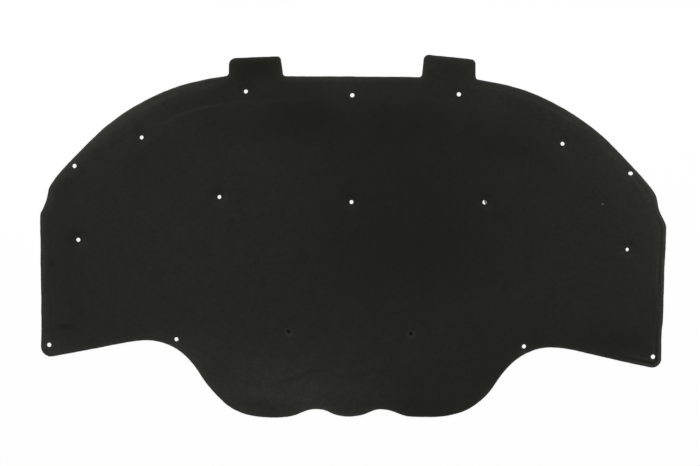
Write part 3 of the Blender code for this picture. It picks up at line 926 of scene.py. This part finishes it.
# Stretches of edge with painted light where they face the lamp, or painted shade where they face away: X, Y,
# the two half widths, the change, and its reach inwards
PAINTED_EDGE_LIGHT_PATCHES = (
    (-530, 200, 100, 90, 0.60, 6.0), (-545, 190, 90, 75, 0.95, 22.0),
    (-420, 275, 115, 70, 0.95, 20.0), (-470, 245, 70, 60, 0.30, 42.0),
    (-315, 318, 60, 30, 0.45, 15.0), (560, 175, 110, 100, 0.10, 6.0),
    (550, 185, 100, 100, 0.80, 30.0), (430, 262, 90, 60, 0.75, 21.0),
    (320, 312, 70, 30, 0.55, 16.0), (626, 104, 60, 60, 0.50, 26.0),
    (0, 330, 150, 40, 0.40, 9.0), (-90, 330, 70, 30, 0.40, 12.0),
    (100, 330, 80, 30, 0.25, 9.0), (650, 10, 50, 130, 0.50, 5.5),
    (650, 30, 60, 110, 0.28, 26.0), (-622, 110, 50, 70, 0.80, 16.0),
    (-648, -60, 40, 170, 0.40, 11.0), (640, -240, 20, 40, 0.50, 9.0),
    (-295, -275, 90, 75, 0.55, 24.0), (170, -345, 110, 60, -0.30, 8.0),
    (310, -270, 90, 60, -0.18, 9.0), (300, -290, 60, 60, 0.35, 3.0),
    (185, -352, 90, 50, -0.20, 32.0), (0, -372, 60, 30, 0.75, 11.0),
    (285, -325, 35, 30, 0.40, 9.0), (370, -238, 30, 25, 0.35, 8.0),
    (-68, -358, 60, 30, 0.30, 12.0), (-200, 352, 62, 40, -0.46, 45.0),
    (-200, 378, 60, 16, 0.55, 8.0), (198, 380, 62, 16, 0.35, 9.0),
    (420, -222, 120, 40, 0.45, 4.0), (-420, -225, 90, 30, 0.30, 5.0),
    (-510, -232, 100, 40, 0.40, 10.0), (-225, -368, 35, 20, 0.40, 14.0),
    (-155, -375, 45, 20, -0.30, 15.0),
)
FLANGE_LIGHT = 0.05
RIM_REACH = 1.1 * MM
# Painted highlight all along the edge, for the light that the rounded rim catches: how much lighter, and its
# reach in millimetres
PAINTED_RIM_HIGHLIGHT = ((0.62, 4.2), (0.20, 13.0))
# Painted light and dark lines along the sides, for the lit and shaded slopes of creases that the press left:
# gap to the edge, half width, change
LEFT_CREASE_PAINTED_SHADE = ((2.9, 0.9, -0.30), (5.2, 1.1, 0.95), (7.3, 0.9, -0.40), (9.3, 1.1, 0.75),
                (11.4, 0.9, -0.25), (13.6, 1.3, 0.35))
RIGHT_CREASE_PAINTED_SHADE = ((4.4, 2.0, 0.85), (9.8, 2.0, -0.55), (15.6, 2.8, 0.55), (22.5, 3.0, 0.15))
SHOULDER_CREASE_PAINTED_SHADE = ((7.2, 1.9, -0.38), (13.8, 2.6, 0.36))
CREASE_WAVES = ((75.0, 1.1), (24.0, 0.5))
CREASE_MEAN = 0.8
CREASE_LIMITS = (0.15, 1.6)
# How far out the creases of the sides and of the shoulders begin, and over what width, in millimetres
SIDE_START = (540.0, 60.0)
SHOULDER_START = (250.0, 50.0)
# Painted highlight rings where the rims of the clip seats and the pockets catch the light: radius, half
# width and change
SEAT_RIM_PAINTED_HIGHLIGHT = ((4.9, 0.7, 0.20), (8.2, 1.7, 0.28))
POCKET_RIM_PAINTED_HIGHLIGHT = ((7.2, 1.7, 0.95),)
POCKET_PAINTED_LIGHT = 3.2


def paint_light_and_tone(points, gap, away, number):
    """How light the felt is at each point, mostly painted light and shade, from its place and its gaps to
    the edge and the nearest hole.
    """
    tone = np.ones(len(points))
    for light, reach in PAINTED_RIM_HIGHLIGHT:
        tone += light * np.exp(-(gap / (reach * MM))**2)
    side, shoulder = (smooth((np.abs(points[:, 0]) / MM - start) / width)
                      for start, width in (SIDE_START, SHOULDER_START))
    shoulder *= (1.0 - side) * (points[:, 1] > 0.0)
    fade = np.clip(CREASE_MEAN + wander(points, CREASE_WAVES, SEEDS["creases"]), *CREASE_LIMITS)
    creases = np.where(points[:, 0] < 0, rings(gap, LEFT_CREASE_PAINTED_SHADE), rings(gap, RIGHT_CREASE_PAINTED_SHADE))
    tone += fade * (side * creases + shoulder * rings(gap, SHOULDER_CREASE_PAINTED_SHADE))
    blind = np.array([hole["blind"] for hole in holes])[number]
    tone += np.where(blind, rings(away, POCKET_RIM_PAINTED_HIGHLIGHT), rings(away, SEAT_RIM_PAINTED_HIGHLIGHT))
    for *place, change in PAINTED_LIGHT_REGIONS:
        tone += change * np.exp(-spread(points, *place))
    for *place, change, reach in PAINTED_EDGE_LIGHT_PATCHES:
        tone += change * np.exp(-spread(points, *place) - (gap / (reach * MM))**2)
    return tone


def store(mesh, name, values):
    """Store one number for each point of the mesh."""
    attribute = mesh.attributes.new(name, "FLOAT", "POINT")
    attribute.data.foreach_set("value", np.asarray(values, np.float32))


vertex_count = len(felt_mesh.vertices)
top_count = len(sheet)
painted_light_and_tone_values = np.ones(vertex_count)
rim_values = np.ones(vertex_count)
painted_light_and_tone_values[:top_count] = paint_light_and_tone(sheet, top_gap, top_away, nearest_hole(sheet)[0])
painted_light_and_tone_values[:top_count] += FLANGE_LIGHT * (1 - top_rise)
# The walls and floor of a pocket are painted lighter, against the shade that falls in them
painted_light_and_tone_values[pocket_index] = POCKET_PAINTED_LIGHT
near_hole = np.clip(1.0 - (top_away - HOLE_RADIUS) / RIM_REACH, 0.0, 1.0)
near_edge = np.clip(1.0 - top_gap / RIM_REACH, 0.0, 1.0)
rim_values[:top_count] = np.maximum(near_hole, near_edge)
store(felt_mesh, "tone", painted_light_and_tone_values)
store(felt_mesh, "rim", rim_values)
felt_mesh.shade_smooth()
print("tone from", round(painted_light_and_tone_values.min(), 2), "to", round(painted_light_and_tone_values.max(), 2))

# %% [markdown]
# ## Black felt
#
# Needled felt is a tangle of fine fibres with tiny pits where the needles went in. Its look is made of soft
# clouds, tufts, a fine grain, pits, and thin streaks for the fibres that lie on top. The streaks are noise
# stretched along one direction, in five layers that are each turned another way. Grain, fibres and pits also
# drive a shallow bump. Felt has hardly any gloss, but its fibre ends shine a little, which is sheen.

# %% Make the felt material
FELT_LIGHT = (0.0112, 0.0117, 0.0102)
FELT_TINT = (0.0, 0.0004, -0.0027)
FELT_DARKEST = (0.0015, 0.0015, 0.0010)
FELT_FINISH = {"Roughness": 0.95, "Metallic": 0.0, "Specular IOR Level": 0.05, "Sheen Weight": 0.12,
               "Sheen Roughness": 0.6}
# Patterns of noise: how many to a metre, and how many finer layers each has
CLOUDS = (26.0, 5.0)
TUFTS = (130.0, 2.0)
GRAIN = (420.0, 4.0)
NOISE_ROUGHNESS = 0.6
PITS_PER_METRE = 620.0
PIT_WALL = (0.04, 0.22, 0.0, 1.0)
# How each pattern shades the felt: two values of the pattern, and the lightness at each
CLOUD_SHADE = (0.3, 0.7, 0.93, 1.07)
GRAIN_SHADE = (0.25, 0.75, 0.70, 1.30)
TUFT_SHADE = (0.3, 0.7, 0.86, 1.14)
PIT_PAINTED_SHADE = (0.0, 1.0, 0.72, 1.0)
FIBRE_SHADE = 0.55
RIM_PAINTED_SHEEN = 0.5
BENDS_PER_METRE = 120.0
BEND_SIZE = 4.0 * MM
NOISE_MIDDLE = (0.5, 0.5, 0.5)
GRAIN_RELIEF = 0.8
BUMP_STRENGTH = 0.7
BUMP_HEIGHT = 0.16 * MM
# The fibre layers: direction in degrees, length and width in millimetres
FIBRE_LAYERS = ((11.0, 6.0, 0.30), (47.0, 4.5, 0.24), (83.0, 7.0, 0.34), (118.0, 5.0, 0.26),
                (154.0, 4.0, 0.22))
FIBRE_NOISE = (1.0, 1.5)
FIBRE_DEPTH = 0.9 * MM
FIBRE_SHIFT = (0.37, 0.11, 0.0)
FIBRE_CUT = (0.54, 0.72, 0.0, 1.0)


def noise_value(nodes, coordinates, scale, detail):
    """Noise from 0 to 1."""
    inputs = {"Vector": coordinates, "Scale": scale, "Detail": detail, "Roughness": NOISE_ROUGHNESS}
    return nodes.add("ShaderNodeTexNoise", inputs).outputs[0]


def streaks(nodes, coordinates, degrees, length, width):
    """Thin light lines along one direction. A mapping of kind TEXTURE turns first and stretches after."""
    inputs = {"Vector": coordinates, "Location": [degrees * share for share in FIBRE_SHIFT],
              "Rotation": (0.0, 0.0, math.radians(degrees)),
              "Scale": (length * MM, width * MM, FIBRE_DEPTH)}
    mapping = nodes.add("ShaderNodeMapping", inputs, vector_type="TEXTURE")
    return nodes.remap(noise_value(nodes, mapping.outputs[0], *FIBRE_NOISE), *FIBRE_CUT)


def stored_value(nodes, name):
    """A number stored on the mesh."""
    return nodes.add("ShaderNodeAttribute", {}, attribute_name=name).outputs["Fac"]


def make_felt_material():
    """Black needled felt."""
    material = bpy.data.materials.new("black_felt_dressed")
    nodes = empty_tree(material)
    here = nodes.add("ShaderNodeTexCoord", {}).outputs["Object"]
    bends = nodes.add("ShaderNodeTexNoise", {"Vector": here, "Scale": BENDS_PER_METRE}).outputs["Color"]
    bends = nodes.vector("SUBTRACT", bends, NOISE_MIDDLE)
    bent = nodes.vector("ADD", here, nodes.vector("SCALE", bends, BEND_SIZE))
    fibres = 0.0
    for layer in FIBRE_LAYERS:
        fibres = nodes.math("MAXIMUM", fibres, streaks(nodes, bent, *layer))
    pit_cells = nodes.add("ShaderNodeTexVoronoi", {"Vector": here, "Scale": PITS_PER_METRE})
    pits = nodes.remap(pit_cells.outputs["Distance"], *PIT_WALL)
    grain = noise_value(nodes, here, *GRAIN)

    # The stored lightness is mostly painted light and shade; clouds, grain and tufts vary it at random, and
    # the darker needle pits are painted shade
    lightness = stored_value(nodes, "tone")
    for pattern, shade in ((noise_value(nodes, here, *CLOUDS), CLOUD_SHADE), (grain, GRAIN_SHADE),
                           (noise_value(nodes, here, *TUFTS), TUFT_SHADE), (pits, PIT_PAINTED_SHADE)):
        lightness = nodes.math("MULTIPLY", lightness, nodes.remap(pattern, *shade))
    # Fibre streaks add lightness, and the rims of the cut edges get a painted sheen
    for extra, share in ((fibres, FIBRE_SHADE), (stored_value(nodes, "rim"), RIM_PAINTED_SHEEN)):
        lightness = nodes.math("ADD", lightness, nodes.math("MULTIPLY", extra, share))
    colour = nodes.vector("SCALE", FELT_LIGHT, lightness)
    colour = nodes.vector("MAXIMUM", nodes.vector("ADD", colour, FELT_TINT), FELT_DARKEST)

    relief = nodes.math("ADD", nodes.math("MULTIPLY", grain, GRAIN_RELIEF), fibres)
    relief = nodes.math("ADD", relief, pits)
    inputs = {"Height": relief, "Strength": BUMP_STRENGTH, "Distance": BUMP_HEIGHT}
    bump = nodes.add("ShaderNodeBump", inputs)
    inputs = {**FELT_FINISH, "Base Color": colour, "Normal": bump.outputs[0]}
    surface = nodes.add("ShaderNodeBsdfPrincipled", inputs)
    nodes.add("ShaderNodeOutputMaterial", {0: surface.outputs[0]})
    return material


felt_material = make_felt_material()
felt_mesh.materials.append(felt_material)
print("material:", len(felt_material.node_tree.nodes), "nodes")

# %% [markdown]
# ## Loose fibres
#
# Up close the felt is hairy. Geometry Nodes scatters the hairs: points are spread over the felt's faces, a
# short line is placed on each and turned, and noise bends every hair another way. A long hair on a slope
# would stick out, so each of its points is drawn to the nearest place on the felt and lifted a little. The
# same tree makes the long hairs of the surface and the short stubble of the cut edges.

# %% Build the tree that scatters hairs
HAIR_INPUTS = {
    "Object": ("felt",), "String": ("where",), "Int": ("points", "seed"), "Material": ("material",),
    "Float": ("density", "shortest", "longest", "thickness", "lean", "curl", "curls_per_metre", "cling",
              "lift"),
}
CURL_FLATNESS = (1.0, 1.0, 0.25)
LIFTS_PER_METRE = 260.0
HAIR_SIDES = 3


def random_number(nodes, least, most, seed):
    """A number of its own for each hair."""
    inputs = {2: least, 3: most, "Seed": seed}
    return nodes.add("FunctionNodeRandomValue", inputs, data_type="FLOAT").outputs[1]


def hair_tree():
    """Hairs on a felt object, denser where the named attribute is larger."""
    tree = bpy.data.node_groups.new("scattered_hairs", "GeometryNodeTree")
    tree.interface.new_socket("Geometry", in_out="INPUT", socket_type="NodeSocketGeometry")
    for kind, names in HAIR_INPUTS.items():
        for name in names:
            tree.interface.new_socket(name, in_out="INPUT", socket_type="NodeSocket" + kind)
    tree.interface.new_socket("Geometry", in_out="OUTPUT", socket_type="NodeSocketGeometry")
    nodes = Nodes(tree)
    given = nodes.add("NodeGroupInput", {}).outputs

    source = nodes.add("GeometryNodeObjectInfo", {"Object": given["felt"]}).outputs["Geometry"]
    weight = nodes.add("GeometryNodeInputNamedAttribute", {"Name": given["where"]}, data_type="FLOAT")
    density = nodes.math("MULTIPLY", weight.outputs["Attribute"], given["density"])
    inputs = {"Mesh": source, "Density": density, "Seed": given["seed"]}
    scatter = nodes.add("GeometryNodeDistributePointsOnFaces", inputs, distribute_method="RANDOM").outputs

    line = nodes.add("GeometryNodeCurvePrimitiveLine", {"End": (1.0, 0.0, 0.0)})
    line = nodes.add("GeometryNodeResampleCurve", {"Curve": line.outputs[0], "Count": given["points"]})
    turn_about = random_number(nodes, 0.0, math.tau, given["seed"])
    lean = random_number(nodes, 0.0, nodes.math("MULTIPLY", given["lean"], -1.0), given["seed"])
    angles = nodes.add("ShaderNodeCombineXYZ", {"Y": lean, "Z": turn_about})
    own_turn = nodes.add("FunctionNodeEulerToRotation", {0: angles.outputs[0]})
    inputs = {"Rotation": scatter["Rotation"], "Rotate By": own_turn.outputs[0]}
    both_turns = nodes.add("FunctionNodeRotateRotation", inputs, rotation_space="LOCAL")
    length = random_number(nodes, given["shortest"], given["longest"], given["seed"])
    inputs = {"Points": scatter["Points"], "Instance": line.outputs[0], "Rotation": both_turns.outputs[0],
              "Scale": length}
    hairs = nodes.add("GeometryNodeInstanceOnPoints", inputs)
    real = nodes.add("GeometryNodeRealizeInstances", {0: hairs.outputs[0]})

    wind = nodes.add("ShaderNodeTexNoise", {"Scale": given["curls_per_metre"]}).outputs["Color"]
    wind = nodes.vector("MULTIPLY", nodes.vector("SUBTRACT", wind, NOISE_MIDDLE), CURL_FLATNESS)
    push = nodes.vector("SCALE", wind, given["curl"])
    curled = nodes.add("GeometryNodeSetPosition", {"Geometry": real.outputs[0], "Offset": push})

    near = nodes.add("GeometryNodeProximity", {0: source}, target_element="FACES")
    here = nodes.add("GeometryNodeInputPosition", {})
    inwards = nodes.vector("SUBTRACT", near.outputs["Position"], here.outputs[0])
    lift = nodes.add("ShaderNodeTexNoise", {"Scale": LIFTS_PER_METRE}).outputs[0]
    upwards = nodes.add("ShaderNodeCombineXYZ", {"Z": nodes.math("MULTIPLY", lift, given["lift"])})
    share = nodes.vector("SCALE", nodes.vector("ADD", inwards, upwards.outputs[0]), given["cling"])
    laid = nodes.add("GeometryNodeSetPosition", {"Geometry": curled.outputs[0], "Offset": share})

    inputs = {"Resolution": HAIR_SIDES, "Radius": given["thickness"]}
    profile = nodes.add("GeometryNodeCurvePrimitiveCircle", inputs)
    inputs = {"Curve": laid.outputs[0], "Profile Curve": profile.outputs[0], "Fill Caps": True}
    solid = nodes.add("GeometryNodeCurveToMesh", inputs)
    whole = nodes.add("GeometryNodeRealizeInstances", {0: solid.outputs[0]})
    inputs = {"Geometry": whole.outputs[0], "Material": given["material"]}
    dress = nodes.add("GeometryNodeSetMaterial", inputs)
    nodes.add("NodeGroupOutput", {0: dress.outputs[0]})
    return tree


def make_fibre_material(name, colour):
    """Single fibres: dull, a little lighter than the felt, because nothing shades them."""
    material = bpy.data.materials.new(name)
    material.use_nodes = True
    surface = material.node_tree.nodes["Principled BSDF"].inputs
    surface["Base Color"].default_value = (*colour, 1.0)
    surface["Roughness"].default_value = 0.7
    surface["Metallic"].default_value = 0.0
    surface["Specular IOR Level"].default_value = 0.2
    return material


def keep_above_table(mesh):
    """Lift points that would reach through the table."""
    coordinates = np.empty(3 * len(mesh.vertices), np.float32)
    mesh.vertices.foreach_get("co", coordinates)
    coordinates[2::3] = np.maximum(coordinates[2::3], low.z)
    mesh.vertices.foreach_set("co", coordinates)


def grow_hairs(name, tree, **inputs):
    """A mesh object of hairs, worked out once by the tree."""
    holder = add_object(name, bpy.data.meshes.new(name + "_seed"))
    modifier = holder.modifiers.new("hairs", "NODES")
    modifier.node_group = tree
    for item in tree.interface.items_tree:
        if item.in_out == "INPUT" and item.name in inputs:
            modifier[item.identifier] = inputs[item.name]
    bpy.context.view_layer.update()
    ready = holder.evaluated_get(bpy.context.evaluated_depsgraph_get())
    mesh = bpy.data.meshes.new_from_object(ready)
    mesh.name = name
    keep_above_table(mesh)
    holder.modifiers.remove(modifier)
    holder.data = mesh
    print(name + ":", len(mesh.polygons), "faces")
    return holder


hairs_tree = hair_tree()
print("hair tree:", len(hairs_tree.nodes), "nodes")

# %% Grow the hairs
BARE_RADIUS = 9.0 * MM
BARE_FADE = 4.0 * MM
BARE_EDGE = 6.0 * MM
LOOSE_SHARE = 0.75
PRESSED_HAIR = 0.55
RIM_HAIR = 0.6
SURFACE_HAIR = {"density": 9000.0, "shortest": 2.5 * MM, "longest": 9.0 * MM, "thickness": 0.04 * MM,
                "lean": 0.0, "curl": 7.0 * MM, "curls_per_metre": 190.0, "points": 7, "cling": 1.0,
                "lift": 0.5 * MM}
CUT_HAIR = {"density": 1100000.0, "shortest": 0.3 * MM, "longest": 1.2 * MM, "thickness": 0.03 * MM,
            "lean": 1.4, "curl": 0.7 * MM, "curls_per_metre": 800.0, "points": 4, "cling": 0.0, "lift": 0.0}
SURFACE_SEED = 31
CUT_SEED = 7
FIBRE_COLOUR = (0.024, 0.025, 0.020)

seat_press = 1.0 - smooth((top_away - SEAT_RADIUS) / (DIMPLE_RADIUS - SEAT_RADIUS))
press = np.maximum(1.0 - LOOSE_SHARE * top_rise, seat_press)
surface_hair = np.zeros(vertex_count)
surface_hair[:top_count] = 1.0 - PRESSED_HAIR * press
surface_hair[:top_count] *= np.clip((top_away - BARE_RADIUS) / BARE_FADE, 0.0, 1.0)
surface_hair[:top_count] *= np.clip(top_gap / BARE_EDGE, 0.0, 1.0)
cut_hair = np.zeros(vertex_count)
cut_hair[:top_count] = rim_values[:top_count] > RIM_HAIR
for row in edge_rows[:-1]:
    cut_hair[row] = 1.0
store(felt_mesh, "surface_hair", surface_hair)
store(felt_mesh, "cut_hair", cut_hair)

fibre_material = make_fibre_material("felt_fibres", FIBRE_COLOUR)
shared = {"felt": felt, "material": fibre_material}
loose_fibres = []
for number, letter in enumerate("abcde"):
    loose_fibres.append(grow_hairs("loose_fibres_" + letter, hairs_tree, where="surface_hair",
                                   seed=SURFACE_SEED + number, **shared, **SURFACE_HAIR))
edge_fuzz = grow_hairs("edge_fuzz", hairs_tree, where="cut_hair", seed=CUT_SEED, **shared, **CUT_HAIR)
print("hairs:", len(loose_fibres), "meshes on the surface and one at the edge")

# %% [markdown]
# ## A torn strand and two bits of lint
#
# A torn strand covers half of the right quarter hole. It is a fan of dark fibres that starts at the rear of
# the hole and spreads to the front right, and some of them end in mid-air. Two tiny tufts of light lint lie
# on the panel: each is a knot of curled fibres. All are curves with a round bevel, turned into meshes.

# %% Lay the strand and the lint
STRAND_HOLE = "quarter_clip_right"
STRAND_COUNT = 34
NOTCH_COUNT = 18
STRAND_RADIUS = 0.115 * MM
STRAND_REACH = 5.4 * MM
STRAND_LIFT = 0.15 * MM
STRAND_SAG = 0.9 * MM
NOTCH_SAG = 0.6 * MM
# Where the fibres start, end and sag: angles in degrees, X and Y from the hole in millimetres
END_ANGLES = (-88.0, 20.0)
START_X = (-1.4, 1.8)
NOTCH_X = (-1.2, 1.0)
NOTCH_Y = (0.0, 2.0)
SAG_X = (-0.6, 1.8)
SAG_Y = (0.0, 2.4)
SEAT_REACH = 5.6 * MM
# Each tuft's X and Y in millimetres, its size and how many fibres it has
LINT = ((517.3, 74.6, 3.2, 50), (-110.0, -207.0, 1.1, 12))
LINT_SPREAD = 0.42
LINT_RISE = (0.1, 0.9)
LINT_RADIUS = 0.07 * MM
LINT_COLOUR = (0.17, 0.17, 0.15)
draw = np.random.default_rng(1784)


def threads(name, lines, radius, material):
    """A mesh of thin round threads along lines of points."""
    curve = bpy.data.curves.new(name + "_lines", "CURVE")
    curve.dimensions = "3D"
    curve.bevel_depth = radius
    curve.bevel_resolution = 0
    curve.use_fill_caps = True
    for line in lines:
        spline = curve.splines.new("POLY")
        spline.points.add(len(line) - 1)
        spline.points.foreach_set("co", np.column_stack([line, np.ones(len(line))]).ravel())
    holder = add_object(name, curve)
    mesh = bpy.data.meshes.new_from_object(holder.evaluated_get(bpy.context.evaluated_depsgraph_get()))
    bpy.data.objects.remove(holder)
    mesh.name = name
    mesh.materials.clear()
    mesh.materials.append(material)
    print(name + ":", len(mesh.polygons), "faces")
    return add_object(name, mesh)


def arc_line(start, middle, end, count=9):
    """Points on the curve that starts and ends at two places and is pulled towards a third."""
    t = np.linspace(0.0, 1.0, count)[:, None]
    return (1 - t)**2 * np.array(start) + 2 * t * (1 - t) * np.array(middle) + t**2 * np.array(end)


def about_hole(x_range, y_range, z):
    """A random place near the torn hole, at a height above the seat."""
    x = hole_x + draw.uniform(*x_range) * MM
    return x, hole_y + draw.uniform(*y_range) * MM, seat_z + z


torn_hole = next(hole for hole in holes if hole["name"] == STRAND_HOLE)
hole_x, hole_y = torn_hole["centre"]
on_seat = (top_away < SEAT_REACH) & (nearest_hole(sheet)[0] == holes.index(torn_hole))
seat_z = top_z[on_seat].mean()
strand_lines = []
for number in range(STRAND_COUNT + NOTCH_COUNT):
    angle = math.radians(draw.uniform(*END_ANGLES))
    start = (hole_x + draw.uniform(*START_X) * MM, hole_y + STRAND_REACH, seat_z + STRAND_LIFT)
    end = (hole_x + STRAND_REACH * math.cos(angle), hole_y + STRAND_REACH * math.sin(angle), start[2])
    if number >= STRAND_COUNT:
        end = about_hole(NOTCH_X, NOTCH_Y, -NOTCH_SAG)
    sag = about_hole(SAG_X, SAG_Y, -STRAND_SAG)
    strand_lines.append(arc_line(start, sag, end))
torn_strand = threads("torn_strand", strand_lines, STRAND_RADIUS, fibre_material)

lint_lines = []
for x, y, size, fibre_count in LINT:
    place = np.array([(x * MM, y * MM)])
    floor_z = top_heights(place)[0][0]
    for _ in range(fibre_count):
        ends = draw.normal(0.0, LINT_SPREAD * size * MM, (3, 2)) + place
        rise_z = floor_z + draw.uniform(*LINT_RISE, 3) * MM
        lint_lines.append(arc_line(*np.column_stack([ends, rise_z]), 7))
lint = threads("lint", lint_lines, LINT_RADIUS, make_fibre_material("light_lint", LINT_COLOUR))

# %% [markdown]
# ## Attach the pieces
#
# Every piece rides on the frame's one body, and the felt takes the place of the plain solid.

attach(felt, BODY)
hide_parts(NODE)
for piece in (felt, *loose_fibres, edge_fuzz, torn_strand, lint):
    if piece is not felt:
        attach(piece, BODY)
